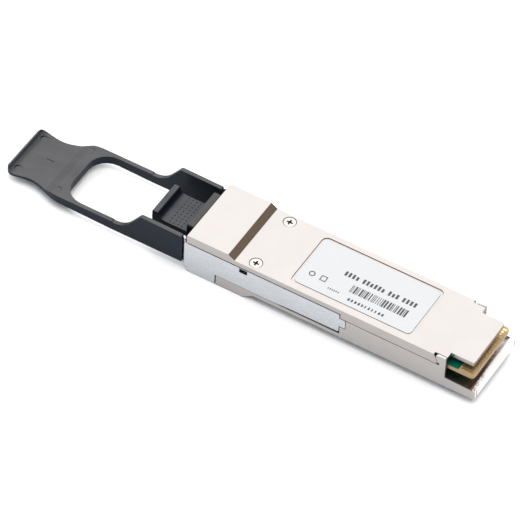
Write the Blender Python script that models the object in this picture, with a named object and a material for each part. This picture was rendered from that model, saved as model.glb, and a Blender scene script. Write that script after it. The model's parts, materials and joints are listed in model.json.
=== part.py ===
"""Pluggable optical transceiver module with a pull-tab latch and a dust plug.

Dimensions are in millimetres. x runs from the front face of the nose towards the host connector,
y from the centre plane (positive is the far side), and z up from the underside of the main body.
place() moves a point into the frame, in metres, whose origin is under the middle of the whole part.
"""

import math

import bmesh
import bpy
from mathutils import Vector

MM = 0.001
SIDES = (-1, 1)
SIDE_NAMES = {-1: "near", 1: "far"}

# Main body
HALF_WIDTH = 9.175
BODY_LENGTH = 72.4
BODY_TOP = 8.5
NOSE_TOP = 9.5
NOSE_BOTTOM = -1.84
TAB_REACH = 48.4
GAP = 0.3
SEAM = 0.15
SEAT = 0.1

# Shells
FLOOR_TOP = 1.2
CAVITY_HALF = 7.2
BAY_HALF = 6.05
BAY_BOTTOM = -0.4
BAY_TOP = 8.06
BAY_END = 12.3
COVER_UNDER = 7.2
LIP_UNDER = 5.9
LIP_START = 38.8
LIP_HALF = 7.5
PILLAR_TOP_START = 62.0
PILLAR_FOOT_START = 63.0
PILLAR_END = 64.8
PILLAR_INSIDE = 8.6
PILLAR_HOLE = (62.95, 6.05)
TONGUE_END = 70.4
TONGUE_HALF = 6.815
TONGUE_UNDER = 7.4
TRAY_HALF = 8.8
TRAY_SLOPE = (70.1, 71.2)
SCREW_X = 16.4
SCREW_Y = 7.2
SCREW_HEAD = 1.42
SCREW_SINK = 1.55
RECESS_LONG = 0.72
RECESS_WIDE = 0.2
LABEL = (25.6, 54.7, 7.1)
POCKET = (25.0, 55.3, 7.8)
POCKET_DEPTH = 0.2

# Latch
SHEET = 0.5
SHEET_INSIDE = HALF_WIDTH - SHEET
RECESS_HALF = SHEET_INSIDE - GAP
SLIT_X = 7.35
ARM_TOP = 6.95
ARM_UNDER = 1.1
STRIP_TOP = 1.0
TIP = (38.6, 40.1, 3.3, 5.7)
WINDOW = (13.4, 15.4, 5.6, 6.8)
TANG = (8.27, 8.57)
TANG_START = -8.9
SPRING_Y = 7.6
SPRING_Z = 6.1
SPRING_SPAN = (8.2, 12.7)

# Pull tab
TAB_HALF = 8.95
TAB_WALL = 1.0
TAB_FRONT = -1.3
OPENING_END = -33.0
WAIST_X = -42.0
WAIST_HALF = 6.8
TAB_END_HALF = 7.6
THUMB_DIMPLE = (46.0, 5.35, 1.0)
EJECTOR_MARK = (34.6, 7.0, 0.9)
GATE_MARK = (-42.3, -40.3, 0.38, 0.54)

# Optical port
PORT_Z = 3.83
PORT_HALF = 5.0
PORT_RISE = 3.23
PIN_Y = 2.3

# Grid of dimples on the dust plug's grip
DIMPLE_PITCH = 1.0
DIMPLE_START = -7.35
DIMPLE_ROWS = range(4)
DIMPLE_COLUMNS = range(-4, 5)
DIMPLE_RADIUS = 0.16
DIMPLE_DEPTH = 0.2

# Circuit board
BOARD_UNDER = 4.95
BOARD_TOP = 5.9
BOARD_START = 19.5
BOARD_END = 71.2
BOARD_HALF = 6.9
CARD_START = 63.4
CARD_HALF = 8.2

FRAME_ORIGIN = Vector(((BODY_LENGTH - TAB_REACH) / 2, 0, NOSE_BOTTOM))
PLANES = {"X": (1, 2, 0), "Y": (0, 2, 1), "Z": (0, 1, 2)}

# name: (colour, roughness, metallic)
FINISHES = {
    "housing_nickel": ((0.78, 0.75, 0.72), 0.32, 1.0),
    "cover_nickel": ((0.80, 0.77, 0.74), 0.32, 1.0),
    "latch_steel": ((0.66, 0.68, 0.71), 0.28, 1.0),
    "screw_nickel": ((0.72, 0.69, 0.66), 0.30, 1.0),
    "spring_steel": ((0.60, 0.60, 0.60), 0.30, 1.0),
    "pin_steel": ((0.70, 0.70, 0.70), 0.20, 1.0),
    "tab_plastic": ((0.035, 0.037, 0.042), 0.50, 0.0),
    "port_plastic": ((0.040, 0.040, 0.042), 0.55, 0.0),
    "plug_plastic": ((0.040, 0.041, 0.044), 0.60, 0.0),
    "ferrule_resin": ((0.10, 0.09, 0.08), 0.50, 0.0),
    "ribbon_coating": ((0.05, 0.42, 0.48), 0.40, 0.0),
    "lens_resin": ((0.80, 0.62, 0.30), 0.15, 0.0),
    "board_laminate": ((0.01, 0.20, 0.12), 0.35, 0.0),
    "chip_package": ((0.02, 0.02, 0.02), 0.50, 0.0),
    "die_silicon": ((0.25, 0.25, 0.30), 0.20, 0.6),
    "crystal_can": ((0.65, 0.62, 0.55), 0.30, 1.0),
    "inductor_ferrite": ((0.08, 0.08, 0.08), 0.60, 0.0),
    "pad_silicone": ((0.45, 0.55, 0.62), 0.80, 0.0),
    "gasket_rubber": ((0.20, 0.20, 0.20), 0.70, 0.0),
    "label_film": ((0.86, 0.88, 0.89), 0.35, 0.0),
}


def place(point):
    """A point of the module, as metres in the frame."""
    return (Vector(point) - FRAME_ORIGIN) * MM


def solid(mesh):
    """An object holding this bmesh, with its faces turned outwards."""
    bmesh.ops.recalc_face_normals(mesh, faces=mesh.faces)
    data = bpy.data.meshes.new("solid")
    mesh.to_mesh(data)
    mesh.free()
    made = bpy.data.objects.new("solid", data)
    bpy.context.scene.collection.objects.link(made)
    return made


def prism(outline, axis, low, high):
    """A solid with this outline across the axis, from low to high along it."""
    first, second, along = PLANES[axis]
    mesh = bmesh.new()
    ends = []
    for height in (low, high):
        ring = []
        for point in outline:
            spot = [0.0, 0.0, 0.0]
            spot[first], spot[second], spot[along] = point[0], point[1], height
            ring.append(mesh.verts.new(place(spot)))
        mesh.faces.new(ring)
        ends.append(ring)
    for i in range(len(outline)):
        mesh.faces.new((ends[0][i - 1], ends[0][i], ends[1][i], ends[1][i - 1]))
    return solid(mesh)


def block(x, y, z):
    """A box from its low and high x, y and z."""
    return prism([(x[0], y[0]), (x[1], y[0]), (x[1], y[1]), (x[0], y[1])], "Z", *z)


def rounded(corners, steps=3):
    """An outline whose (a, b, radius) corners are arcs, and whose (a, b) corners are sharp."""
    outline = []
    for i, corner in enumerate(corners):
        here = Vector(corner[:2])
        if len(corner) == 2:
            outline.append(tuple(here))
            continue
        before = (Vector(corners[i - 1][:2]) - here).normalized()
        after = (Vector(corners[(i + 1) % len(corners)][:2]) - here).normalized()
        half = before.angle(after) / 2
        centre = here + (before + after).normalized() * corner[2] / math.sin(half)
        start = here + before * corner[2] / math.tan(half) - centre
        turn = start.angle_signed(here + after * corner[2] / math.tan(half) - centre)
        angle = math.atan2(start.y, start.x)
        for step in range(steps + 1):
            at = angle - turn * step / steps
            outline.append((centre.x + corner[2] * math.cos(at), centre.y + corner[2] * math.sin(at)))
    return outline


def rounded_box(a, b, radius, steps=3):
    """The rounded outline of a rectangle from its low and high a and b."""
    ring = [(a[0], b[0]), (a[1], b[0]), (a[1], b[1]), (a[0], b[1])]
    return rounded([(*corner, radius) for corner in ring], steps)


def circle(centre, radius, count):
    """A round outline of this many points."""
    turns = [2 * math.pi * i / count for i in range(count)]
    return [(centre[0] + radius * math.cos(t), centre[1] + radius * math.sin(t)) for t in turns]


def turned(profile, centre, count):
    """A solid turned about a vertical axis, from (radius, z) pairs listed upwards."""
    mesh = bmesh.new()
    rings = []
    for radius, z in profile:
        rings.append([mesh.verts.new(place((*p, z))) for p in circle(centre, radius, count)])
    mesh.faces.new(rings[0])
    mesh.faces.new(rings[-1])
    for low, high in zip(rings, rings[1:]):
        for i in range(count):
            mesh.faces.new((low[i - 1], low[i], high[i], high[i - 1]))
    return solid(mesh)


def combine(base, operation, *others):
    """Base joined to, cut by or kept inside each of the others, which are used up."""
    for other in others:
        modifier = base.modifiers.new(operation, "BOOLEAN")
        modifier.operation = operation
        modifier.solver = "EXACT"
        modifier.object = other
    graph = bpy.context.evaluated_depsgraph_get()
    result = bpy.data.meshes.new_from_object(base.evaluated_get(graph))
    base.modifiers.clear()
    base.data = result
    for other in others:
        bpy.data.objects.remove(other)
    return base


def cut(base, *cutters):
    return combine(base, "DIFFERENCE", *cutters)


def join(base, *others):
    return combine(base, "UNION", *others)


def both_sides(x, y, z):
    """A pair of boxes mirrored about the centre plane; y holds distances from it."""
    return [block(x, sorted((side * y[0], side * y[1])), z) for side in SIDES]


def material(name):
    """The named finish as a Principled material."""
    if name in bpy.data.materials:
        return bpy.data.materials[name]
    colour, roughness, metallic = FINISHES[name]
    made = bpy.data.materials.new(name)
    made.use_nodes = True
    shader = made.node_tree.nodes["Principled BSDF"]
    shader.inputs["Base Color"].default_value = (*colour, 1.0)
    shader.inputs["Roughness"].default_value = roughness
    shader.inputs["Metallic"].default_value = metallic
    made.diffuse_color = (*colour, 1.0)
    return made


def node(name, shape, finish, carrier=None, smooth=False):
    """Names a finished solid, gives it its material and hangs it on its carrier."""
    shape.name = name
    shape.data.name = name
    shape.data.materials.clear()
    shape.data.materials.append(material(finish))
    if smooth:
        shape.data.shade_smooth()
        shape.data.set_sharp_from_angle(angle=math.radians(35))
    if carrier:
        shape.parent = carrier
        shape.matrix_parent_inverse = carrier.matrix_world.inverted()
    return shape


def carrier(name, point):
    """An empty on a slide's axis, which carries the pieces that slide together."""
    empty = bpy.data.objects.new(name, None)
    empty.location = place(point)
    bpy.context.scene.collection.objects.link(empty)
    bpy.context.view_layer.update()
    return empty


def lower_housing():
    """Die-cast trough: stepped nose, side walls, pillars and the open tray at the connector end."""
    profile = [
        (0, NOSE_BOTTOM),
        (14.4, NOSE_BOTTOM, 0.4),
        (16.9, 0, 0.4),
        (BODY_LENGTH, 0, 0.5),
        (BODY_LENGTH, 2.4, 0.2),
        (PILLAR_END, 2.7, 0.2),
        (PILLAR_END, BODY_TOP, 0.2),
        (PILLAR_TOP_START, BODY_TOP, 0.6),
        (PILLAR_FOOT_START, LIP_UNDER - SEAM),
        (LIP_START - SEAM, LIP_UNDER - SEAM),
        (LIP_START - SEAM, COVER_UNDER - SEAM),
        (0, COVER_UNDER - SEAM),
    ]
    shell = prism(rounded(profile, 2), "Y", -HALF_WIDTH, HALF_WIDTH)
    plan = [
        (-1, -HALF_WIDTH),
        (BODY_LENGTH, -HALF_WIDTH, 0.5),
        (BODY_LENGTH, HALF_WIDTH, 0.5),
        (-1, HALF_WIDTH),
    ]
    combine(shell, "INTERSECT", prism(rounded(plan), "Z", -3, 10))
    beyond = HALF_WIDTH + 1
    slot = (TIP[0], TIP[1] + SEAM)
    cut(
        shell,
        *both_sides((-1, LIP_START), (RECESS_HALF, beyond), (STRIP_TOP, 8)),
        *both_sides((-1, SLIT_X + GAP), (RECESS_HALF, beyond), (-3, STRIP_TOP + 0.1)),
        *both_sides(slot, (RECESS_HALF, beyond), (TIP[2] - SEAM, 6)),
        block((-1, SLIT_X + GAP), (-beyond, beyond), (-3, NOSE_BOTTOM + SHEET + GAP)),
    )
    # The bay holds the optical port, the narrow room its ferrule, the wide one the circuit board.
    # Between the pillars the room widens for the card edge.
    wide = (SCREW_X + 2.8, PILLAR_END + 0.5)
    rail_top = BOARD_UNDER - GAP
    half = PILLAR_INSIDE
    cut(
        shell,
        block((-1, BAY_END), (-BAY_HALF, BAY_HALF), (BAY_BOTTOM, 10)),
        block((8.6, 10.7), (-BAY_HALF, BAY_HALF), (-1.2, 0)),
        block((BAY_END - 0.1, SCREW_X + 2.9), (-5, 5), (FLOOR_TOP, 10)),
        block(wide, (-CAVITY_HALF, CAVITY_HALF), (rail_top, 10)),
        block(wide, (1 - CAVITY_HALF, CAVITY_HALF - 1), (FLOOR_TOP, rail_top + 0.1)),
        block((PILLAR_FOOT_START, PILLAR_END + 0.5), (-half, half), (FLOOR_TOP, 10)),
        block((PILLAR_TOP_START - 1, PILLAR_FOOT_START + 0.1), (-half, half), (LIP_UNDER - 0.5, 10)),
    )
    foot, brim = TRAY_SLOPE
    tray = [(PILLAR_END, FLOOR_TOP), (foot, FLOOR_TOP), (brim, 2.4), (brim, 10), (PILLAR_END, 10)]
    cut(shell, prism(tray, "Y", -TRAY_HALF, TRAY_HALF))
    cut(shell, *both_sides((7.9, 15.2), (6.75, beyond), (5.2, 8)))
    cut(shell, *both_sides((41.5, 61.5), (7.9, 8.7), (5.0, 6)))
    for side in SIDES:
        cut(shell, prism(circle((SCREW_X, side * SCREW_Y), 0.85, 12), "Z", 1.6, 8))
        cut(shell, seam_hole(side))
        cut(shell, prism(circle((BODY_LENGTH, side * 8.4), 0.18, 8), "Z", -1, 4))
    node("lower_housing", shell, "housing_nickel")


def seam_hole(side):
    """Cutter for the small round relief where the seam meets the pillar."""
    reach = sorted((side * (HALF_WIDTH - 0.9), side * (HALF_WIDTH + 1)))
    return prism(circle(PILLAR_HOLE, 0.35, 12), "Y", *reach)


def upper_cover():
    """Die-cast lid: raised nose, side lips, label pocket and the tongue over the card edge."""
    profile = [
        (0, COVER_UNDER),
        (0, NOSE_TOP, 0.25),
        (10.5, NOSE_TOP),
        (12.15, BODY_TOP),
        (PILLAR_TOP_START - SEAM, BODY_TOP, 0.25),
        (PILLAR_FOOT_START - SEAM, LIP_UNDER),
        (LIP_START, LIP_UNDER),
        (LIP_START, COVER_UNDER),
    ]
    lid = prism(rounded(profile, 2), "Y", -HALF_WIDTH, HALF_WIDTH)
    cut(
        lid,
        block((LIP_START - 1, 64), (-LIP_HALF, LIP_HALF), (5, COVER_UNDER)),
        block((-1, BAY_END), (-BAY_HALF, BAY_HALF), (5, BAY_TOP)),
        block((8.6, 10.7), (-BAY_HALF, BAY_HALF), (8, 8.7)),
    )
    neck = PILLAR_INSIDE - SEAM
    end = [
        (60, -TONGUE_HALF),
        (TONGUE_END, -TONGUE_HALF, 0.3),
        (TONGUE_END, TONGUE_HALF, 0.3),
        (60, TONGUE_HALF),
    ]
    join(
        lid,
        block((60, PILLAR_END), (-neck, neck), (COVER_UNDER, BODY_TOP)),
        prism(rounded(end, 2), "Z", TONGUE_UNDER, BODY_TOP),
    )
    start, stop, half = POCKET
    pocket = rounded_box((start, stop), (-half, half), 1.4, 4)
    cut(lid, prism(pocket, "Z", BODY_TOP - POCKET_DEPTH, BODY_TOP + 1))
    for side in SIDES:
        centre = (SCREW_X, side * SCREW_Y)
        sink = [(0.85, 6), (0.85, 7.65), (SCREW_SINK, 8.4), (SCREW_SINK, 9)]
        cut(lid, turned(sink, centre, 24))
        cut(lid, seam_hole(side))
    node("upper_cover", lid, "cover_nickel")


def cover_screws():
    """Countersunk cross-recess screws that hold the lid down."""
    profile = [(0.3, 2.2), (0.7, 2.6), (0.7, 7.6), (SCREW_HEAD, 8.33), (SCREW_HEAD, 8.42)]
    for side in SIDES:
        screw = turned(profile, (SCREW_X, side * SCREW_Y), 24)
        for long, wide in ((RECESS_LONG, RECESS_WIDE), (RECESS_WIDE, RECESS_LONG)):
            x = (SCREW_X - long, SCREW_X + long)
            y = (side * SCREW_Y - wide, side * SCREW_Y + wide)
            cut(screw, block(x, y, (7.8, 9)))
        node(f"cover_screw_{SIDE_NAMES[side]}", screw, "screw_nickel", smooth=True)


def label():
    """Film label lying in the lid's pocket."""
    start, stop, half = LABEL
    outline = rounded_box((start, stop), (-half, half), 1.0, 4)
    seat = BODY_TOP - POCKET_DEPTH + 0.04
    node("label", prism(outline, "Z", seat, seat + 0.1), "label_film")


def latch_bracket(mover):
    """Stamped U of sheet steel: floor plate, two side arms, spring tabs, wedge tips and tangs."""
    thin = [
        (TANG_START, TANG[0]),
        (-1.0, TANG[0]),
        (-0.35, SHEET_INSIDE),
        (TIP[1], SHEET_INSIDE),
        (TIP[1], HALF_WIDTH),
        (-0.55, HALF_WIDTH),
        (-1.2, TANG[1]),
        (TANG_START, TANG[1]),
    ]
    profile = [
        (TANG_START, 1.1),
        (-1.2, 1.1),
        (-1.2, 0),
        (-0.6, 0),
        (0, -0.7),
        (0, NOSE_BOTTOM),
        (SLIT_X, NOSE_BOTTOM),
        (SLIT_X, ARM_UNDER),
        (22, ARM_UNDER),
        (26, ARM_UNDER + 0.25),
        (TIP[0], ARM_UNDER + 0.4, 0.3),
        (TIP[0], TIP[2]),
        (TIP[1], TIP[2]),
        (TIP[1], TIP[3]),
        (TIP[0], TIP[3]),
        (TIP[0], ARM_TOP, 0.3),
        (-0.3, ARM_TOP),
        (-0.3, 8.0, 0.3),
        (-1.2, 8.0),
        (-1.2, 7.1),
        (TANG_START, 7.1),
    ]
    floor = block((0, SLIT_X), (-HALF_WIDTH, HALF_WIDTH), (NOSE_BOTTOM, NOSE_BOTTOM + SHEET))
    for side in SIDES:
        arm = prism([(x, side * y) for x, y in thin], "Z", -3, 10)
        combine(arm, "INTERSECT", prism(rounded(profile, 2), "Y", -10, 10))
        y = sorted((side * (SHEET_INSIDE - 1), side * (HALF_WIDTH + 1)))
        cut(arm, block(WINDOW[:2], y, WINDOW[2:]))
        inward = sorted((side * 6.95, side * (SHEET_INSIDE + 0.1)))
        join(arm, block((WINDOW[0] - SHEET, WINDOW[0]), inward, WINDOW[2:]))
        join(floor, arm)
    node("latch_bracket", floor, "latch_steel", mover)


def half_width(x):
    """Half the pull tab's width at x: straight arms, a waist, then a flared end."""
    if x > OPENING_END:
        return TAB_HALF
    if x > WAIST_X:
        share = (OPENING_END - x) / (OPENING_END - WAIST_X)
        return TAB_HALF - (TAB_HALF - WAIST_HALF) * (1 - math.cos(math.pi * share)) / 2
    share = (WAIST_X - x) / 6
    return WAIST_HALF + 0.87 * (1 - math.cos(math.pi * share)) / 2


def pull_tab(mover):
    """Moulded tab: deep cheeks beside the port, thin arms, a finger opening and a flat grip."""
    flank = [(TAB_FRONT, TAB_HALF)]
    flank += [(x, half_width(x)) for x in range(-33, -47, -1)]
    end_half = TAB_END_HALF
    outline = flank + [(-TAB_REACH, end_half, 1.8), (-TAB_REACH, -end_half, 1.8)]
    outline += [(x, -y) for x, y in reversed(flank)]
    tab = prism(rounded(outline, 4), "Z", -2, 10)
    profile = [
        (TAB_FRONT, 0, 0.3),
        (TAB_FRONT, 7.85, 0.6),
        (-12.07, 8.0, 0.8),
        (-16.41, 2.2, 4.8),
        (-19.1, 2.2),
        (-19.4, 2.4),
        (-33, 2.3),
        (-35.0, 2.2, 2.0),
        (-37.6, 1.2, 2.0),
        (-46.75, 0.78, 3.4),
        (-47.85, 1.68, 0.1),
        (-TAB_REACH, 1.6, 0.3),
        (-TAB_REACH, 0.2, 0.3),
        (-33, 0.2),
        (-20, -0.1),
    ]
    combine(tab, "INTERSECT", prism(rounded(profile, 4), "Y", -10, 10))
    inner = TAB_HALF - TAB_WALL
    opening = [(OPENING_END, inner, 4.8), (OPENING_END, -inner, 4.8), (1, -inner), (1, inner)]
    cut(tab, prism(rounded(opening, 6), "Z", -3, 11))
    slot = (TANG[0] - 0.07, TANG[1] + 0.07)
    cut(tab, *both_sides((TANG_START - SEAT, 0), slot, (1.0, 7.2)))
    for side in SIDES:
        for (reach, y, radius), bottom in ((THUMB_DIMPLE, 0.75), (EJECTOR_MARK, 2.1)):
            cut(tab, prism(circle((-reach, side * y), radius, 16), "Z", bottom, 4))
    cut(tab, block(GATE_MARK[:2], GATE_MARK[2:], (0.85, 4)))
    node("pull_tab", tab, "tab_plastic", mover)


def return_springs():
    """Compression springs between the housing and the bracket's spring tabs."""
    turns, steps, wire, radius = 7, 8, 0.12, 0.5
    start, stop = SPRING_SPAN[0] + wire, SPRING_SPAN[1] - wire
    count = turns * steps
    for side in SIDES:
        curve = bpy.data.curves.new("coil", "CURVE")
        curve.dimensions = "3D"
        line = curve.splines.new("POLY")
        line.points.add(count)
        for i in range(count + 1):
            angle = 2 * math.pi * i / steps
            x = start + (stop - start) * i / count
            y = side * SPRING_Y + radius * math.cos(angle)
            z = SPRING_Z + radius * math.sin(angle)
            line.points[i].co = (*place((x, y, z)), 1)
        curve.bevel_depth = wire * MM
        curve.bevel_resolution = 0
        curve.use_fill_caps = True
        coil = bpy.data.objects.new("coil", curve)
        bpy.context.scene.collection.objects.link(coil)
        graph = bpy.context.evaluated_depsgraph_get()
        tube = bmesh.new()
        tube.from_mesh(bpy.data.meshes.new_from_object(coil.evaluated_get(graph)))
        bmesh.ops.remove_doubles(tube, verts=tube.verts, dist=1e-6)
        bpy.data.objects.remove(coil)
        node(f"return_spring_{SIDE_NAMES[side]}", solid(tube), "spring_steel", smooth=True)


def mpo_receptacle():
    """Moulded optical port: collar, sleeve, retaining rib, and a web that holds the ferrule."""
    collar = rounded_box((-BAY_HALF, BAY_HALF), (PORT_Z - 4.93, PORT_Z + 4.93), 0.7)
    port = prism(collar, "X", -2.0, -GAP)
    sleeve = (PORT_Z - 3.93, PORT_Z + 3.93)
    body_half = BAY_HALF - GAP
    join(
        port,
        block((-1, BAY_END - GAP), (-body_half, body_half), sleeve),
        block((8.9, 10.4), (-body_half, body_half), (PORT_Z - 4.73, PORT_Z + 4.57)),
    )
    mouth = rounded_box((-PORT_HALF, PORT_HALF), (PORT_Z - PORT_RISE, PORT_Z + PORT_RISE), 0.5, 2)
    cut(
        port,
        prism(mouth, "X", -3, 8),
        prism(mouth, "X", 9, BAY_END + 1),
        block((-3, 7), (-1.3, 1.3), (PORT_Z, PORT_Z + PORT_RISE + 0.4)),
        block((7, 10), (-3.4, 3.4), (PORT_Z - 1.45, PORT_Z + 1.45)),
    )
    node("mpo_receptacle", port, "port_plastic")


def dust_plug(mover):
    """Moulded plug: thumb flange, flat grip and a hollow body that fills the port."""
    half = 4.65
    flange = (0.9, 6.75)
    grip = (2.65, 5.0)
    profile = [
        (-11.6, flange[0], 0.25),
        (-11.6, flange[1], 0.25),
        (-10.1, flange[1], 0.25),
        (-10.1, grip[1], 1.7),
        (-1.0, grip[1]),
        (-1.0, grip[0]),
        (-10.1, grip[0], 1.2),
        (-10.1, flange[0], 0.25),
    ]
    plug = prism(rounded(profile), "Y", -half, half)
    body = rounded_box((-half, half), (PORT_Z - PORT_RISE + GAP, PORT_Z + PORT_RISE - GAP), 0.4, 2)
    join(plug, prism(body, "X", -1.4, 3.5))
    cut(plug, block((1.2, 4), (-3.7, 3.7), (PORT_Z - 1.65, PORT_Z + 1.65)))
    for row in DIMPLE_ROWS:
        for column in DIMPLE_COLUMNS:
            dimple = circle((DIMPLE_START + row * DIMPLE_PITCH, column * DIMPLE_PITCH), DIMPLE_RADIUS, 8)
            cut(plug, prism(dimple, "Z", grip[1] - DIMPLE_DEPTH, grip[1] + 1))
    node("dust_plug", plug, "plug_plastic", mover)


def ferrule_parts():
    """Multi-fibre ferrule with its guide pins, pin clamp and fibre ribbon."""
    ferrule = block((4.6, 9.2), (-3.2, 3.2), (PORT_Z - 1.25, PORT_Z + 1.25))
    join(ferrule, block((9.1, 12.4), (-3.8, 3.8), (PORT_Z - 1.6, PORT_Z + 1.6)))
    for side in SIDES:
        cut(ferrule, prism(circle((side * PIN_Y, PORT_Z), 0.45, 10), "X", 4, 13))
        pin = prism(circle((side * PIN_Y, PORT_Z), 0.35, 10), "X", 2.8, 12.3)
        node(f"guide_pin_{SIDE_NAMES[side]}", pin, "pin_steel", smooth=True)
    node("mt_ferrule", ferrule, "ferrule_resin")
    clamp = block((12.6, 13.8), (-3.6, 3.6), (PORT_Z - 1.4, PORT_Z + 1.4))
    cut(clamp, block((12, 14.5), (-1.75, 1.75), (PORT_Z - 0.35, 7)))
    node("pin_clamp", clamp, "pin_steel")
    rise = BOARD_TOP + 0.7 - PORT_Z
    middle = [(12.5, PORT_Z)]
    middle += [(14.5 + 6 * i / 8, PORT_Z + rise * (1 - math.cos(math.pi * i / 8)) / 2) for i in range(9)]
    middle += [(21.9, PORT_Z + rise)]
    strip = [(x, z - 0.15) for x, z in middle] + [(x, z + 0.15) for x, z in reversed(middle)]
    node("fibre_ribbon", prism(strip, "Y", -1.55, 1.55), "ribbon_coating")


def circuit_board():
    """Board with a narrow stem between the shells and a wide card edge beyond the pillars."""
    outline = [
        (BOARD_START, -BOARD_HALF),
        (CARD_START, -BOARD_HALF),
        (CARD_START, -CARD_HALF),
        (BOARD_END, -CARD_HALF, 0.9),
        (BOARD_END, CARD_HALF, 0.9),
        (CARD_START, CARD_HALF),
        (CARD_START, BOARD_HALF),
        (BOARD_START, BOARD_HALF),
    ]
    node("circuit_board", prism(rounded(outline, 4), "Z", BOARD_UNDER, BOARD_TOP), "board_laminate")


def lens_block():
    """Moulded lens block that turns the light down onto the laser and photodiode arrays."""
    seat = BOARD_TOP + SEAT
    lens = block((22, 27), (-2.6, 2.6), (seat, 7.1))
    cut(lens, block((23.4, 25.8), (-2.0, 2.0), (5, 6.4)))
    notch = [(24.6, 7.2), (25.2, 6.6), (25.8, 7.2)]
    cut(lens, prism(notch, "Y", -3, 3))
    node("lens_block", lens, "lens_resin")


def board_pieces():
    """Chips, dies, pads and small parts, each as its box on or under the board."""
    seat = BOARD_TOP + SEAT
    pads = (seat + 0.8, COVER_UNDER - SEAT)
    under = (BOARD_UNDER - SEAT - 0.8, BOARD_UNDER - SEAT)
    die = (seat, seat + 0.2)
    bare = (seat, seat + 0.4)
    package = (seat, seat + 0.7)
    pieces = {
        "laser_array": ((24.3, 24.8), (-1.7, -0.3), die, "die_silicon"),
        "photodiode_array": ((24.3, 24.8), (0.3, 1.7), die, "die_silicon"),
        "laser_driver_chip": ((28.2, 30.6), (-2.7, -0.3), bare, "die_silicon"),
        "receiver_chip": ((28.2, 30.6), (0.3, 2.7), bare, "die_silicon"),
        "transmit_retimer": ((34, 39), (-5.6, -0.6), package, "chip_package"),
        "receive_retimer": ((34, 39), (0.6, 5.6), package, "chip_package"),
        "thermal_pad_near": ((33.8, 39.2), (-5.8, -0.4), pads, "pad_silicone"),
        "thermal_pad_far": ((33.8, 39.2), (0.4, 5.8), pads, "pad_silicone"),
        "microcontroller": ((45, 50), (-2.5, 2.5), package, "chip_package"),
        "memory_chip": ((40, 43), (-1.5, 1.5), under, "chip_package"),
        "crystal": ((52, 54.5), (2.5, 4.5), package, "crystal_can"),
        "power_inductor": ((52.5, 55.5), (-5.5, -2.5), (seat, seat + 1.0), "inductor_ferrite"),
    }
    for name, (x, y, z, finish) in pieces.items():
        node(name, block(x, y, z), finish)


def seam_gaskets():
    """Conductive cords that seal the seam between the shells."""
    for side in SIDES:
        y = sorted((side * 8.0, side * 8.6))
        cord = block((41.7, 61.3), y, (5.1, LIP_UNDER - 0.05))
        node(f"seam_gasket_{SIDE_NAMES[side]}", cord, "gasket_rubber")


def build():
    for old in list(bpy.data.objects):
        bpy.data.objects.remove(old)
    latch = carrier("latch_slide", (0, 0, ARM_UNDER))
    plug = carrier("plug_slide", (0, 0, PORT_Z))
    lower_housing()
    upper_cover()
    cover_screws()
    label()
    latch_bracket(latch)
    pull_tab(latch)
    return_springs()
    mpo_receptacle()
    dust_plug(plug)
    ferrule_parts()
    circuit_board()
    lens_block()
    board_pieces()
    seam_gaskets()


build()
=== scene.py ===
"""Looks of a pluggable optical transceiver module: its finishes, printed label and fine parts.

Sizes are in millimetres in the module's own axes: x from the front face of the nose towards the host
connector, y from the centre plane, z up from the underside of the main body. at() moves a point into
the frame, in metres, and is worked out from the boxes of the CAD nodes.
"""

import json
import math
import random

import bmesh
import bpy
from mathutils import Matrix, Vector


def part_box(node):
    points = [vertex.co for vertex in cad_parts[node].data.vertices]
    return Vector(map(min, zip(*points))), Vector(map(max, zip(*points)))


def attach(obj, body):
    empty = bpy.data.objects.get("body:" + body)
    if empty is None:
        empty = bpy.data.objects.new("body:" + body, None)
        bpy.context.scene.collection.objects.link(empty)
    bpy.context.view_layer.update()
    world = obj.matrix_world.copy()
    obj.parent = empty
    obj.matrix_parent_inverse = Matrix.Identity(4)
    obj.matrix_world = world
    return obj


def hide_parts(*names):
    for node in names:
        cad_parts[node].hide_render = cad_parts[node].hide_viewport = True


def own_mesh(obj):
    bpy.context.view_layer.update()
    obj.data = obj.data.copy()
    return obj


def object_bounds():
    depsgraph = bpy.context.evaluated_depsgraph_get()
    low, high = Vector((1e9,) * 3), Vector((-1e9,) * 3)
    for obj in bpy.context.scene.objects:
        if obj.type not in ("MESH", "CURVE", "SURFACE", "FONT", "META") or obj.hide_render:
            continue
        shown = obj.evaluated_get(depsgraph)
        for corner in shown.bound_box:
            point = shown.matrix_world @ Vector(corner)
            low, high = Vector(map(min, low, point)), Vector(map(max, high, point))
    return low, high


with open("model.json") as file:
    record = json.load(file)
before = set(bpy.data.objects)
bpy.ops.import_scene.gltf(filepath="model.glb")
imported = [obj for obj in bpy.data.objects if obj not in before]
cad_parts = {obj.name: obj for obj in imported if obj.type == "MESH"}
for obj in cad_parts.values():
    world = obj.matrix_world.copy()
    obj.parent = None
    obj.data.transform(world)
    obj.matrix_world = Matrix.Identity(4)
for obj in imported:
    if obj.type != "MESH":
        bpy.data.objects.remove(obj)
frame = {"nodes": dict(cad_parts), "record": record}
CAD_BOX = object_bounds()

MM = 0.001
SIDES = (-1, 1)
SIDE_NAMES = {-1: "near", 1: "far"}
SCENE = bpy.context.scene

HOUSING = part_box("lower_housing")
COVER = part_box("upper_cover")
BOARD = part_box("circuit_board")
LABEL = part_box("label")
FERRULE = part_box("mt_ferrule")
NOSE_HEIGHT = 9.5
ORIGIN = Vector((HOUSING[0].x, 0, COVER[1].z - NOSE_HEIGHT * MM))


def at(x, y, z):
    """A point of the module, as metres in the frame."""
    return ORIGIN + Vector((x, y, z)) * MM


def local(point):
    """A point of the frame, as the module's millimetres."""
    return (Vector(point) - ORIGIN) / MM


# ---------------------------------------------------------------- geometry helpers


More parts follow.
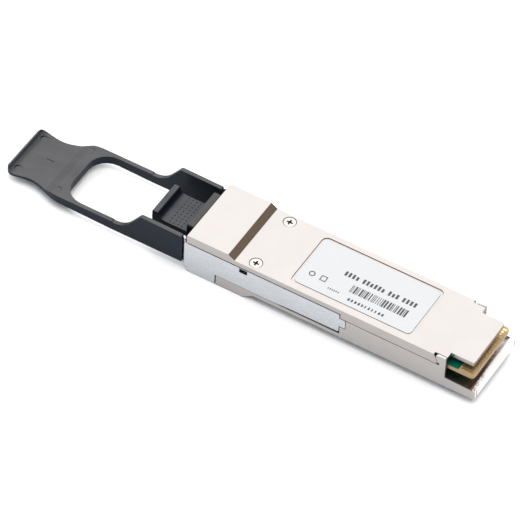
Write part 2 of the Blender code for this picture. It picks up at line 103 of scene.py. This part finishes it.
def finish_mesh(name, mesh, smooth=False):
    """An object holding this bmesh, with its faces turned outwards."""
    bmesh.ops.recalc_face_normals(mesh, faces=mesh.faces)
    data = bpy.data.meshes.new(name)
    mesh.to_mesh(data)
    mesh.free()
    if smooth:
        data.shade_smooth()
        data.set_sharp_from_angle(angle=math.radians(40))
    made = bpy.data.objects.new(name, data)
    SCENE.collection.objects.link(made)
    return made


def add_prism(mesh, outline, low, high):
    """Adds an upright solid with this (x, y) outline between two heights."""
    rings = [[mesh.verts.new(at(x, y, z)) for x, y in outline] for z in (low, high)]
    mesh.faces.new(rings[0])
    mesh.faces.new(rings[1])
    for i in range(len(outline)):
        mesh.faces.new((rings[0][i - 1], rings[0][i], rings[1][i], rings[1][i - 1]))


def add_slab(mesh, x, y, z):
    """Adds a box from its low and high x, y and z."""
    add_prism(mesh, [(x[0], y[0]), (x[1], y[0]), (x[1], y[1]), (x[0], y[1])], *z)


def ring_points(centre, radius, count, start=0.0, sweep=2 * math.pi):
    """Points along an arc; a full turn leaves out the repeated last point."""
    steps = count if sweep >= 2 * math.pi else count - 1
    turns = [start + sweep * i / steps for i in range(count)]
    return [(centre[0] + radius * math.cos(t), centre[1] + radius * math.sin(t)) for t in turns]


def piece(name, made, body, finish):
    """Hands a finished object to its body, slot and material."""
    made.data.materials.clear()
    made.data.materials.append(finish)
    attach(made, body)
    return made


# ---------------------------------------------------------------- material helpers


class Surface:
    """A Principled material whose detail is worked out from the object's own coordinates."""

    def __init__(self, name, colour, roughness, metallic=0.0, **sockets):
        self.material = bpy.data.materials.new(name)
        self.material.use_nodes = True
        self.nodes = self.material.node_tree.nodes
        self.links = self.material.node_tree.links
        self.shader = self.nodes["Principled BSDF"]
        self.shader.inputs["Base Color"].default_value = (*colour, 1)
        self.shader.inputs["Roughness"].default_value = roughness
        self.shader.inputs["Metallic"].default_value = metallic
        for socket, value in sockets.items():
            self.shader.inputs[socket.replace("_", " ")].default_value = value
        self.place = self.nodes.new("ShaderNodeTexCoord").outputs["Object"]
        self.height = None

    def node(self, kind, **settings):
        """A new node of this kind with these settings."""
        made = self.nodes.new(kind)
        for key, value in settings.items():
            setattr(made, key, value)
        return made

    def set(self, made, socket, value):
        """Sets a socket to a number or colour, or links it to another socket."""
        target = made.inputs[socket]
        if isinstance(value, bpy.types.NodeSocket):
            self.links.new(value, target)
        else:
            target.default_value = value

    def stretched(self, scale):
        """The object's coordinates, in millimetres, stretched by these factors."""
        mapping = self.node("ShaderNodeMapping")
        self.set(mapping, "Vector", self.place)
        self.set(mapping, "Scale", [s / MM for s in scale])
        return mapping.outputs["Vector"]

    def noise(self, size, detail=3.0, stretch=(1, 1, 1), roughness=0.55):
        """Noise whose features are about this many millimetres across, from 0 to 1."""
        made = self.node("ShaderNodeTexNoise")
        self.set(made, "Vector", self.stretched([s / size for s in stretch]))
        self.set(made, "Scale", 1.0)
        self.set(made, "Detail", detail)
        self.set(made, "Roughness", roughness)
        return made.outputs["Fac"]

    def cells(self, size, feature="F1"):
        """Distance to the nearest of random points about this many millimetres apart."""
        made = self.node("ShaderNodeTexVoronoi", feature=feature)
        self.set(made, "Vector", self.stretched([1 / size] * 3))
        self.set(made, "Scale", 1.0)
        return made.outputs["Distance"]

    def ramp(self, value, low, high, first=0.0, last=1.0, smooth=True):
        """The value taken from the range low to high into the range first to last."""
        made = self.node("ShaderNodeMapRange")
        if smooth:
            made.interpolation_type = "SMOOTHSTEP"
        for socket, number in (("Value", value), ("From Min", low), ("From Max", high),
                               ("To Min", first), ("To Max", last)):
            self.set(made, socket, number)
        return made.outputs["Result"]

    def math(self, operation, *values):
        """The result of one arithmetic step on numbers or sockets."""
        made = self.node("ShaderNodeMath", operation=operation)
        for i, value in enumerate(values):
            self.set(made, i, value)
        return made.outputs[0]

    def mix(self, share, first, last):
        """A colour between two, by share."""
        made = self.node("ShaderNodeMix", data_type="RGBA")
        self.set(made, 0, share)
        for i, value in ((6, first), (7, last)):
            if not isinstance(value, bpy.types.NodeSocket):
                value = (*value, 1)
            self.set(made, i, value)
        return made.outputs[2]

    def along(self, name):
        """One of the object's coordinates, in metres."""
        made = self.node("ShaderNodeSeparateXYZ")
        self.set(made, 0, self.place)
        return made.outputs[name]

    def facing(self, name):
        """One part of the surface's normal, from -1 to 1."""
        made = self.node("ShaderNodeSeparateXYZ")
        self.set(made, 0, self.node("ShaderNodeNewGeometry").outputs["Normal"])
        return made.outputs[name]

    def edge(self, reach):
        """1 within this many millimetres of an edge, to 0 beyond; it places painted edge highlights,
        partly handling wear, and a painted shade line.
        """
        eased = self.node("ShaderNodeBevel", samples=4)
        self.set(eased, "Radius", reach * MM)
        agree = self.node("ShaderNodeVectorMath", operation="DOT_PRODUCT")
        self.set(agree, 0, eased.outputs["Normal"])
        self.set(agree, 1, self.node("ShaderNodeNewGeometry").outputs["Normal"])
        return self.ramp(agree.outputs["Value"], 0.97, 0.85)

    def painted_gap_shade(self, reach):
        """1 in gaps narrower than about this many millimetres, to 0 in the open: it places painted shade
        in gaps, seams and corners.
        """
        open_air = self.node("ShaderNodeAmbientOcclusion", samples=8)
        self.set(open_air, "Distance", reach * MM)
        return self.ramp(open_air.outputs["AO"], 0.78, 0.42)

    def paint(self, colour):
        """Gives the surface its colour."""
        self.set(self.shader, "Base Color", colour)

    def gloss(self, roughness):
        """Gives the surface its roughness."""
        self.set(self.shader, "Roughness", roughness)

    def bump(self, height, distance, strength=1.0):
        """Adds fine relief this many millimetres deep on top of what is there."""
        made = self.node("ShaderNodeBump")
        self.set(made, "Height", height)
        self.set(made, "Distance", distance * MM)
        self.set(made, "Strength", strength)
        if self.height:
            self.set(made, "Normal", self.height)
        self.height = made.outputs["Normal"]
        self.set(self.shader, "Normal", self.height)


# Colour of the painted shade in narrow gaps, seams and corners.
GAP_SHADE_COLOUR = (0.035, 0.028, 0.025)
# Painted reflections at the open end of the tray: brown for the card's reflection and shade, pale for the
# bright floor's.
CARD_REFLECTION = (0.20, 0.11, 0.07)
PALE_REFLECTION = (0.90, 0.885, 0.87)
# Colour of a painted shade line along the edges of the tray's end face.
END_EDGE_SHADE = (0.30, 0.29, 0.28)
# Length, blend and skew of the painted reflections at the tray's end, in mm.
PAINTED_END_LENGTH = 2.2
PAINTED_END_BLEND = 1.2
PAINTED_END_SKEW = 0.12
RAGGED = 0.5


def tint(colour, factor):
    """The colour made darker or lighter by a factor."""
    return tuple(min(1.0, c * factor) for c in colour)


# ---------------------------------------------------------------- materials


def painted_end_reflection(made, base, start):
    """The colour from about this x on, with painted reflections at the open end: first a brown painted
    reflection and shade of the card, then a pale painted reflection of the bright floor.

    The border is ragged and skewed, and where it is painted the surface stops being metallic; a painted
    shade line runs along the edges of the end face.
    """
    ragged = made.ramp(made.noise(0.5, 3.0), 0.3, 0.7, -RAGGED * MM, RAGGED * MM, smooth=False)
    skewed = made.math("MULTIPLY_ADD", made.along("Y"), PAINTED_END_SKEW, made.along("X"))
    along = made.math("ADD", skewed, ragged)
    upward = made.ramp(made.facing("Z"), 0.2, 0.6)
    endward = made.ramp(made.facing("X"), 0.7, 0.95)
    # Brown painted reflection and shade of the card, then a pale painted reflection of the bright floor.
    card_reflection_share = made.math("MULTIPLY", made.ramp(along, start - MM, start), upward)
    pale_reflection_share = made.math("MULTIPLY", made.ramp(along, start, start + PAINTED_END_BLEND * MM),
                       made.math("MAXIMUM", upward, endward))
    base = made.mix(card_reflection_share, base, CARD_REFLECTION)
    base = made.mix(pale_reflection_share, base, PALE_REFLECTION)
    made.set(made.shader, "Metallic",
             made.ramp(made.math("MAXIMUM", card_reflection_share, pale_reflection_share), 0.0, 1.0, 1.0, 0.1))
    # A painted shade line along the edges of the end face.
    return made.mix(made.math("MULTIPLY", made.edge(0.32), endward), base, END_EDGE_SHADE)


def plated(name, colour, roughness=0.32, grain=0.09, painted_end_from=None, painted_slope_reflection=None):
    """Nickel plate over a blasted casting: fine grain, faint clouding, edges lightened as a painted
    highlight and partly handling wear, and painted shade in narrow gaps.

    Past about the x given for the end, in metres, the open end gets painted reflections. The colour given
    for slopes is a painted dark reflection on the faces that lean or look towards the host.
    """
    made = Surface(name, colour, roughness, 1.0)
    cloud = made.noise(7.0, 2.0)
    grains = made.noise(grain, 2.0)
    pits = made.ramp(made.cells(0.55), 0.0, 0.16)
    base = made.mix(made.ramp(cloud, 0.3, 0.7), tint(colour, 0.96), colour)
    base = made.mix(made.ramp(grains, 0.25, 0.6), tint(colour, 0.93), base)
    # Edges painted lighter: a painted highlight, partly handling wear.
    base = made.mix(made.edge(0.1), base, tint(colour, 1.1))
    # Painted shade in narrow gaps, seams and corners.
    base = made.mix(made.painted_gap_shade(0.5), base, GAP_SHADE_COLOUR)
    # Faces leaning or looking towards the host get a painted dark reflection.
    if painted_slope_reflection:
        base = made.mix(made.ramp(made.facing("X"), 0.25, 0.4), base, painted_slope_reflection)
    # The open end of the tray gets painted reflections.
    if painted_end_from:
        base = painted_end_reflection(made, base, painted_end_from)
    made.paint(base)
    made.gloss(made.ramp(grains, 0.2, 0.8, roughness - 0.05, roughness + 0.08))
    made.bump(grains, 0.004, 0.35)
    made.bump(pits, 0.002, 0.2)
    return made


def rolled_steel(name, colour, roughness=0.24):
    """Rolled sheet: long faint lines along the strip, light scuffs and soft clouding."""
    made = Surface(name, colour, roughness, 1.0)
    lines = made.noise(0.12, 3.0, (0.03, 1, 1))
    cloud = made.noise(5.0, 2.0, (0.5, 1, 1))
    scuffs = made.ramp(made.noise(0.5, 4.0, (0.15, 1, 1.4)), 0.58, 0.72)
    base = made.mix(made.ramp(cloud, 0.3, 0.7), tint(colour, 0.95), colour)
    base = made.mix(made.math("MULTIPLY", scuffs, 0.25), base, tint(colour, 0.82))
    # Painted shade in narrow gaps, seams and corners.
    made.paint(made.mix(made.painted_gap_shade(0.5), base, GAP_SHADE_COLOUR))
    made.gloss(made.ramp(lines, 0.2, 0.8, roughness - 0.05, roughness + 0.09))
    made.bump(lines, 0.0015, 0.35)
    return made


def moulded(name, colour, painted_sheen, roughness=0.5, grain=0.12):
    """Moulded black plastic: spark-eroded grain, flow clouding, a pale painted sheen on the upward faces,
    and edges lightened as a painted highlight and partly rubbed wear.
    """
    made = Surface(name, colour, roughness, 0.0, Specular_IOR_Level=0.12)
    grains = made.noise(grain, 3.0)
    flow = made.noise(6.0, 3.0, (0.6, 1, 1))
    base = made.mix(made.ramp(flow, 0.35, 0.65), tint(colour, 0.9), tint(colour, 1.12))
    # The pale colour put on upward faces is a painted sheen.
    top_sheen = made.mix(made.ramp(flow, 0.3, 0.7), tint(painted_sheen, 0.9), tint(painted_sheen, 1.1))
    base = made.mix(made.ramp(made.facing("Z"), 0.78, 0.995), base, top_sheen)
    # Edges painted lighter: a painted highlight, partly rubbed wear.
    made.paint(made.mix(made.edge(0.18), base, tint(painted_sheen, 0.7)))
    made.gloss(made.ramp(grains, 0.25, 0.75, roughness - 0.06, roughness + 0.1))
    made.bump(grains, 0.006, 0.4)
    made.bump(flow, 0.02, 0.25)
    return made


def speckled(name, colour, roughness, metallic=0.0, size=0.2, depth=0.003, spread=0.15, **sockets):
    """A plain fine-grained surface, for small parts."""
    made = Surface(name, colour, roughness, metallic, **sockets)
    grains = made.noise(size, 3.0)
    made.paint(made.mix(made.ramp(grains, 0.3, 0.7), tint(colour, 1 - spread), tint(colour, 1 + spread)))
    made.gloss(made.ramp(grains, 0.2, 0.8, max(0.05, roughness - 0.06), roughness + 0.08))
    made.bump(grains, depth, 0.4)
    return made


def label_film():
    """Coated label stock: almost flat, with a faint fibre mottle and a soft satin."""
    colour = (0.475, 0.486, 0.498)
    made = Surface("label_film", colour, 0.42, 0.0)
    fibres = made.noise(0.3, 4.0)
    cloud = made.noise(6.0, 2.0)
    base = made.mix(made.ramp(fibres, 0.35, 0.65), tint(colour, 0.985), tint(colour, 1.01))
    made.paint(made.mix(made.ramp(cloud, 0.3, 0.7), base, tint(colour, 0.985)))
    made.gloss(made.ramp(fibres, 0.2, 0.8, 0.36, 0.48))
    made.bump(fibres, 0.004, 0.3)
    return made


def laminate():
    """Bare glass-epoxy board: tan, with the weave of its glass cloth."""
    colour = (0.40, 0.27, 0.13)
    made = Surface("board_laminate", colour, 0.42, 0.0)
    warp = made.node("ShaderNodeTexWave", bands_direction="X")
    weft = made.node("ShaderNodeTexWave", bands_direction="Y")
    for wave in (warp, weft):
        made.set(wave, "Vector", made.stretched((1, 1, 1)))
        made.set(wave, "Scale", 0.7)
        made.set(wave, "Distortion", 0.4)
    weave = made.math("MULTIPLY", warp.outputs["Fac"], weft.outputs["Fac"])
    specks = made.noise(0.25, 3.0)
    base = made.mix(made.ramp(weave, 0.1, 0.8), tint(colour, 0.82), tint(colour, 1.08))
    base = made.mix(made.ramp(specks, 0.4, 0.7), base, tint(colour, 0.8))
    # Painted shade: darker under the overhanging parts and in corners.
    made.paint(made.mix(made.painted_gap_shade(1.8), base, GAP_SHADE_COLOUR))
    made.bump(weave, 0.004, 0.3)
    return made


def solder_mask():
    """Green mask over copper: tracks show as faint lighter lines under the gloss."""
    colour = (0.0, 0.078, 0.050)
    made = Surface("solder_mask", colour, 0.24, 0.0, Specular_IOR_Level=0.2)
    tracks = made.node("ShaderNodeTexWave", bands_direction="Y")
    made.set(tracks, "Vector", made.stretched((1, 1, 1)))
    made.set(tracks, "Scale", 0.62)
    made.set(tracks, "Distortion", 0.0)
    lines = made.ramp(tracks.outputs["Fac"], 0.62, 0.8)
    cloud = made.noise(1.8, 3.0)
    base = made.mix(made.ramp(cloud, 0.3, 0.7), tint(colour, 0.8), tint(colour, 1.15))
    base = made.mix(made.math("MULTIPLY", lines, 0.5), base, (0.01, 0.17, 0.11))
    # Painted shade: the mask goes almost black under the overhanging parts and in corners.
    made.paint(made.mix(made.painted_gap_shade(1.8), base, (0.004, 0.012, 0.009)))
    made.bump(lines, 0.015, 0.4)
    return made


def gold_plate():
    """Gold over nickel on the contacts, with faint wiping marks along their length."""
    colour = (0.80, 0.56, 0.25)
    made = Surface("gold_plate", colour, 0.4, 1.0)
    wipes = made.noise(0.08, 3.0, (0.08, 1, 1))
    cloud = made.noise(1.5, 2.0)
    made.paint(made.mix(made.ramp(cloud, 0.3, 0.7), tint(colour, 0.85), colour))
    made.gloss(made.ramp(wipes, 0.2, 0.8, 0.32, 0.48))
    made.bump(wipes, 0.001, 0.3)
    return made


def build_materials():
    """Every finish by its name."""
    made = {
        # The housing's open end gets painted reflections.
        "housing_nickel": plated("housing_nickel", (0.405, 0.382, 0.372),
                                 painted_end_from=HOUSING[1].x - PAINTED_END_LENGTH * MM),
        # The cover's faces towards the host get a painted dark reflection.
        "cover_nickel": plated("cover_nickel", (0.388, 0.366, 0.354), painted_slope_reflection=(0.19, 0.155, 0.12)),
        "latch_steel": rolled_steel("latch_steel", (0.485, 0.50, 0.525)),
        "screw_nickel": rolled_steel("screw_nickel", (0.44, 0.42, 0.39), 0.26),
        "spring_steel": speckled("spring_steel", (0.60, 0.60, 0.60), 0.28, 1.0, 0.08, 0.001, 0.06),
        "pin_steel": speckled("pin_steel", (0.70, 0.70, 0.70), 0.18, 1.0, 0.06, 0.001, 0.05),
        "tab_plastic": moulded("tab_plastic", (0.005, 0.009, 0.017), (0.070, 0.070, 0.073), 0.42),
        "port_plastic": moulded("port_plastic", (0.003, 0.004, 0.007), (0.060, 0.059, 0.060), 0.45),
        "plug_plastic": moulded("plug_plastic", (0.003, 0.005, 0.009), (0.056, 0.060, 0.067), 0.46),
        "ferrule_resin": speckled("ferrule_resin", (0.10, 0.09, 0.08), 0.5, 0.0, 0.08, 0.003, 0.25),
        "ribbon_coating": speckled("ribbon_coating", (0.05, 0.42, 0.48), 0.35, 0.0, 0.4, 0.004, 0.1),
        "lens_resin": speckled("lens_resin", (0.80, 0.62, 0.30), 0.15, 0.0, 0.8, 0.002, 0.06),
        "board_laminate": laminate(),
        "chip_package": speckled("chip_package", (0.022, 0.022, 0.023), 0.55, 0.0, 0.06, 0.006, 0.2),
        "die_silicon": speckled("die_silicon", (0.25, 0.25, 0.30), 0.2, 0.6, 0.1, 0.001, 0.1),
        "crystal_can": speckled("crystal_can", (0.65, 0.62, 0.55), 0.3, 1.0, 0.1, 0.002, 0.06),
        "inductor_ferrite": speckled("inductor_ferrite", (0.08, 0.08, 0.08), 0.6, 0.0, 0.08, 0.008, 0.2),
        "pad_silicone": speckled("pad_silicone", (0.45, 0.55, 0.62), 0.8, 0.0, 0.2, 0.01, 0.06),
        "gasket_rubber": speckled("gasket_rubber", (0.20, 0.20, 0.20), 0.7, 0.0, 0.15, 0.01, 0.1),
        "label_film": label_film(),
        "solder_mask": solder_mask(),
        "gold_plate": gold_plate(),
        "label_ink": speckled("label_ink", (0.040, 0.040, 0.045), 0.6, 0.0, 0.15, 0.002, 0.25),
        "fibre_glass": speckled("fibre_glass", (0.75, 0.80, 0.82), 0.1, 0.0, 0.05, 0.0005, 0.05),
    }
    return {name: surface.material for name, surface in made.items()}


# ---------------------------------------------------------------- CAD nodes

# node: (width of the softened edges in mm, segments, smallest angle that counts as an edge)
SOFT_EDGES = {
    "lower_housing": (0.06, 2, 34),
    "upper_cover": (0.06, 2, 26),
    "latch_bracket": (0.03, 2, 34),
    "pull_tab": (0.22, 3, 34),
    "dust_plug": (0.15, 2, 34),
    "mpo_receptacle": (0.15, 2, 34),
    "cover_screw_near": (0.05, 2, 34),
    "cover_screw_far": (0.05, 2, 34),
    "circuit_board": (0.05, 2, 34),
}
DEFAULT_SOFT_EDGE = (0.04, 1, 34)


def soften(node, width, segments, angle):
    """Closes the node's faces into one skin, shades it smooth and rounds its sharp edges."""
    mesh = node.data
    if "custom_normal" in mesh.attributes:
        mesh.attributes.remove(mesh.attributes["custom_normal"])
    mesh.shade_smooth()
    weld = node.modifiers.new("weld", "WELD")
    weld.merge_threshold = 1e-6
    flat = node.modifiers.new("flat", "DECIMATE")
    flat.decimate_type = "DISSOLVE"
    flat.angle_limit = math.radians(0.3)
    bevel = node.modifiers.new("bevel", "BEVEL")
    bevel.width = width * MM
    bevel.segments = segments
    bevel.limit_method = "ANGLE"
    bevel.angle_limit = math.radians(angle)
    bevel.harden_normals = True
    bevel.use_clamp_overlap = True
    even = node.modifiers.new("even", "WEIGHTED_NORMAL")
    even.weight = 60


def dress_nodes(finishes):
    """Every CAD node gets its finish and its softened edges."""
    slots = {part["node"]: part["material_slot"] for part in frame["record"]["subparts"]}
    for name, node in frame["nodes"].items():
        node.data.materials.clear()
        node.data.materials.append(finishes[slots[name]])
        soften(node, *SOFT_EDGES.get(name, DEFAULT_SOFT_EDGE))


# ---------------------------------------------------------------- pieces

CONTACT_COUNT = 19
CONTACT_PITCH = 0.8
CONTACT_WIDTH = 0.56
MASK_THICK = 0.03
MASK_END = 67.4
MASK_MARGIN = 0.12
BOARD_NECK_HALF = 6.9
BOARD_WIDE_START = 63.4
FILM_SINK = 0.005
CONTACT_GAP = 0.35
SIGNAL_SETBACK = 0.75
INK_SINK = 0.004
INK_RISE = 0.012
FIBRE_COUNT = 12
FIBRE_PITCH = 0.25
FIBRE_RADIUS = 0.07
FIBRE_SIDES = 10
SPRING_TURNS = 7.5
SPRING_STEPS = 20
SPRING_CLOSING = 0.045
WIRE_RADIUS = 0.12
WIRE_SIDES = 8


def card_edge(finishes):
    """Solder mask over both faces of the board, and the two rows of gold contacts beyond it."""
    low, high = local(BOARD[0]), local(BOARD[1])
    faces = {"top": (high.z - FILM_SINK, high.z + MASK_THICK),
             "bottom": (low.z - MASK_THICK, low.z + FILM_SINK)}
    neck = BOARD_NECK_HALF
    wide = BOARD_WIDE_START
    edge = MASK_MARGIN
    for face, heights in faces.items():
        mask = bmesh.new()
        outline = [
            (low.x + edge, -neck + edge), (wide + edge, -neck + edge), (wide + edge, low.y + edge),
            (MASK_END, low.y + edge), (MASK_END, high.y - edge), (wide + edge, high.y - edge),
            (wide + edge, neck - edge), (low.x + edge, neck - edge),
        ]
        add_prism(mask, outline, *heights)
        piece(f"solder_mask_{face}", finish_mesh(f"solder_mask_{face}", mask), "module",
              finishes["solder_mask"])
        rows = bmesh.new()
        for i in range(CONTACT_COUNT):
            y = (i - (CONTACT_COUNT - 1) / 2) * CONTACT_PITCH
            ground = i % 3 == 0
            start = MASK_END + CONTACT_GAP
            end = high.x - (CONTACT_GAP if ground else SIGNAL_SETBACK)
            half = CONTACT_WIDTH / 2
            add_slab(rows, (start, end), (y - half, y + half), heights)
        piece(f"card_contacts_{face}", finish_mesh(f"card_contacts_{face}", rows), "module",
              finishes["gold_plate"])


def add_bar(mesh, x, y, size, z):
    """Adds a box from its low corner and its size in x and y."""
    add_slab(mesh, (x, x + size[0]), (y, y + size[1]), z)


def label_print(finishes):
    """Generic print: a heading of plain blocks, a bar pattern, smaller blocks and three marks."""
    top = local(LABEL[1]).z
    z = (top - INK_SINK, top + INK_RISE)
    ink = bmesh.new()
    chance = random.Random(7)
    # Heading: four groups of plain upright blocks.
    x = 34.2
    for blocks in (4, 6, 3, 4):
        for _ in range(blocks):
            add_bar(ink, x, 0.15, (0.56, chance.choice((1.35, 1.35, 1.1))), z)
            x += 0.94
        x += 0.7
    # Bar pattern.
    x = 37.5
    while x < 50.9:
        wide = chance.choice((0.16, 0.16, 0.3, 0.44))
        add_bar(ink, x, -3.5, (wide, 2.25), z)
        x += wide + chance.choice((0.16, 0.2, 0.34))
    # Line of smaller blocks.
    x = 38.4
    for _ in range(11):
        add_bar(ink, x, -5.85, (chance.choice((0.4, 0.48, 0.3)), 0.75), z)
        x += 0.84
    # Marks: an open ring, a square frame and a row of dots.
    outer = ring_points((28.2, -3.2), 0.75, 24)
    inner = ring_points((28.2, -3.2), 0.5, 24)
    for i in range(24):
        add_prism(ink, [outer[i - 1], outer[i], inner[i], inner[i - 1]], *z)
    for x0, y0, wide, tall in ((30.3, -3.95, 1.5, 0.22), (30.3, -2.6, 1.5, 0.22),
                               (30.3, -3.73, 0.22, 1.13), (31.58, -3.73, 0.22, 1.13)):
        add_bar(ink, x0, y0, (wide, tall), z)
    for i in range(6):
        add_bar(ink, 33.1 + 0.5 * i, -5.2, (0.24, 0.45), z)
    piece("label_print", finish_mesh("label_print", ink), "module", finishes["label_ink"])


def fibre_ends(finishes):
    """The row of twelve polished fibre ends in the ferrule's face."""
    face = local(FERRULE[0]).x
    middle = (local(FERRULE[0]).z + local(FERRULE[1]).z) / 2
    mesh = bmesh.new()
    for i in range(FIBRE_COUNT):
        y = (i - (FIBRE_COUNT - 1) / 2) * FIBRE_PITCH
        rings = []
        for x in (face - 0.01, face + 0.02):
            points = ring_points((y, middle), FIBRE_RADIUS, FIBRE_SIDES)
            rings.append([mesh.verts.new(at(x, a, b)) for a, b in points])
        mesh.faces.new(rings[0])
        mesh.faces.new(rings[1])
        for j in range(FIBRE_SIDES):
            mesh.faces.new((rings[0][j - 1], rings[0][j], rings[1][j], rings[1][j - 1]))
    piece("fibre_ends", finish_mesh("fibre_ends", mesh), "module", finishes["fibre_glass"])


def coil_springs(finishes):
    """Round-wire return springs with closed ends."""
    for side in SIDES:
        name = SIDE_NAMES[side]
        low, high = (local(corner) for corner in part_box(f"return_spring_{name}"))
        centre_y, centre_z = (low.y + high.y) / 2, (low.z + high.z) / 2
        radius = (high.z - low.z) / 2 - WIRE_RADIUS
        start, stop = low.x + WIRE_RADIUS, high.x - WIRE_RADIUS
        count = int(SPRING_TURNS * SPRING_STEPS)
        mesh = bmesh.new()
        rings = []
        for i in range(count + 1):
            share = i / count
            x = start + (stop - start) * (share - SPRING_CLOSING * math.sin(4 * math.pi * share))
            angle = 2 * math.pi * SPRING_TURNS * share
            out = Vector((0, math.cos(angle), math.sin(angle)))
            ring = []
            for k in range(WIRE_SIDES):
                turn = 2 * math.pi * k / WIRE_SIDES
                spot = Vector((x, centre_y, centre_z)) + out * (radius + WIRE_RADIUS * math.cos(turn))
                spot.x += WIRE_RADIUS * math.sin(turn)
                ring.append(mesh.verts.new(at(*spot)))
            rings.append(ring)
        mesh.faces.new(rings[0])
        mesh.faces.new(rings[-1])
        for first, last in zip(rings, rings[1:]):
            for k in range(WIRE_SIDES):
                mesh.faces.new((first[k - 1], first[k], last[k], last[k - 1]))
        coil = finish_mesh(f"coil_spring_{name}", mesh, smooth=True)
        piece(coil.name, coil, "module", finishes["spring_steel"])
        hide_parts(f"return_spring_{name}")
        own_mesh(coil)


# ---------------------------------------------------------------- floor, light and camera


def studio_floor():
    """A plain pale floor under the part."""
    floor = bmesh.new()
    reach = 3.0
    corners = [(-reach, -reach), (reach, -reach), (reach, reach), (-reach, reach)]
    floor.faces.new([floor.verts.new((x, y, CAD_BOX[0].z)) for x, y in corners])
    made = finish_mesh("floor", floor)
    pale = Surface("floor_white", (0.93, 0.93, 0.93), 0.9)
    mottle = pale.noise(60.0, 2.0)
    pale.paint(pale.mix(mottle, (0.925, 0.925, 0.925), (0.935, 0.935, 0.935)))
    made.data.materials.append(pale.material)


def studio_light():
    """A soft sky, bright above and behind and dim in front, with a warm, duller card on the right."""
    world = bpy.data.worlds.new("studio")
    SCENE.world = world
    world.use_nodes = True
    nodes, links = world.node_tree.nodes, world.node_tree.links
    background = nodes["Background"]
    background.inputs["Strength"].default_value = 1.0
    direction = nodes.new("ShaderNodeTexCoord").outputs["Generated"]

    def towards(axis, low, high, first, last):
        """How nearly a direction points along this axis, taken into the range first to last."""
        dot = nodes.new("ShaderNodeVectorMath")
        dot.operation = "DOT_PRODUCT"
        links.new(direction, dot.inputs[0])
        dot.inputs[1].default_value = Vector(axis).normalized()
        scale = nodes.new("ShaderNodeMapRange")
        scale.interpolation_type = "SMOOTHSTEP"
        links.new(dot.outputs["Value"], scale.inputs["Value"])
        for socket, value in (("From Min", low), ("From Max", high), ("To Min", first), ("To Max", last)):
            scale.inputs[socket].default_value = value
        return scale.outputs["Result"]

    def blend(share, first, last):
        """A colour between two, by share."""
        made = nodes.new("ShaderNodeMix")
        made.data_type = "RGBA"
        links.new(share, made.inputs[0])
        for i, value in ((6, first), (7, last)):
            if isinstance(value, bpy.types.NodeSocket):
                links.new(value, made.inputs[i])
            else:
                made.inputs[i].default_value = (*value, 1)
        return made.outputs[2]

    softbox = (-0.32, 0.59, 0.74)
    card_side = (0.507, 0.591, 0.626)
    room = blend(towards(softbox, -0.1, 0.6, 0, 1), (0.50, 0.53, 0.60), (1.50, 1.50, 1.50))
    sky = blend(towards(softbox, 0.74, 0.94, 0, 1), room, (2.65, 2.64, 2.63))
    card = towards(card_side, 0.80, 0.93, 0, 1)
    links.new(blend(card, sky, (0.66, 0.60, 0.54)), background.inputs["Color"])
    key = bpy.data.lights.new("key", "SUN")
    key.energy = 1.35
    key.angle = math.radians(40)
    key.color = (1.0, 0.99, 0.975)
    lamp = bpy.data.objects.new("key", key)
    lamp.rotation_mode = "QUATERNION"
    lamp.rotation_quaternion = Vector((0.25, -0.12, 0.96)).to_track_quat("Z", "Y")
    SCENE.collection.objects.link(lamp)


CAMERA_TURNS = (28.45, 47.73, 3.20)  # azimuth, elevation and roll, in degrees
CAMERA_AIM = (35.0, -0.175, 4.0)
CAMERA_SHIFT = (-0.017996, 0.0062007)  # right and up from the aim, in metres
CAMERA_DISTANCE = 0.9928
CAMERA_LENS = 313.5


def camera():
    """A long lens, looking down on the near side from the right."""
    azimuth, elevation, roll = (math.radians(a) for a in CAMERA_TURNS)
    back = Vector((math.sin(azimuth) * math.cos(elevation), -math.cos(azimuth) * math.cos(elevation),
                   math.sin(elevation)))
    level = Vector((math.cos(azimuth), math.sin(azimuth), 0))
    upward = back.cross(level)
    right = level * math.cos(roll) + upward * math.sin(roll)
    up = upward * math.cos(roll) - level * math.sin(roll)
    target = at(*CAMERA_AIM) + right * CAMERA_SHIFT[0] + up * CAMERA_SHIFT[1]
    data = bpy.data.cameras.new("camera")
    data.lens = CAMERA_LENS
    data.sensor_width = 36.0
    data.clip_start, data.clip_end = 0.05, 20.0
    made = bpy.data.objects.new("camera", data)
    pose = Matrix((right, up, back)).transposed().to_4x4()
    pose.translation = target + back * CAMERA_DISTANCE
    made.matrix_world = pose
    SCENE.collection.objects.link(made)
    SCENE.camera = made


# ---------------------------------------------------------------- the scene

finishes = build_materials()
dress_nodes(finishes)
card_edge(finishes)
label_print(finishes)
fibre_ends(finishes)
coil_springs(finishes)
studio_floor()
studio_light()
camera()
SCENE.view_settings.view_transform = "Standard"
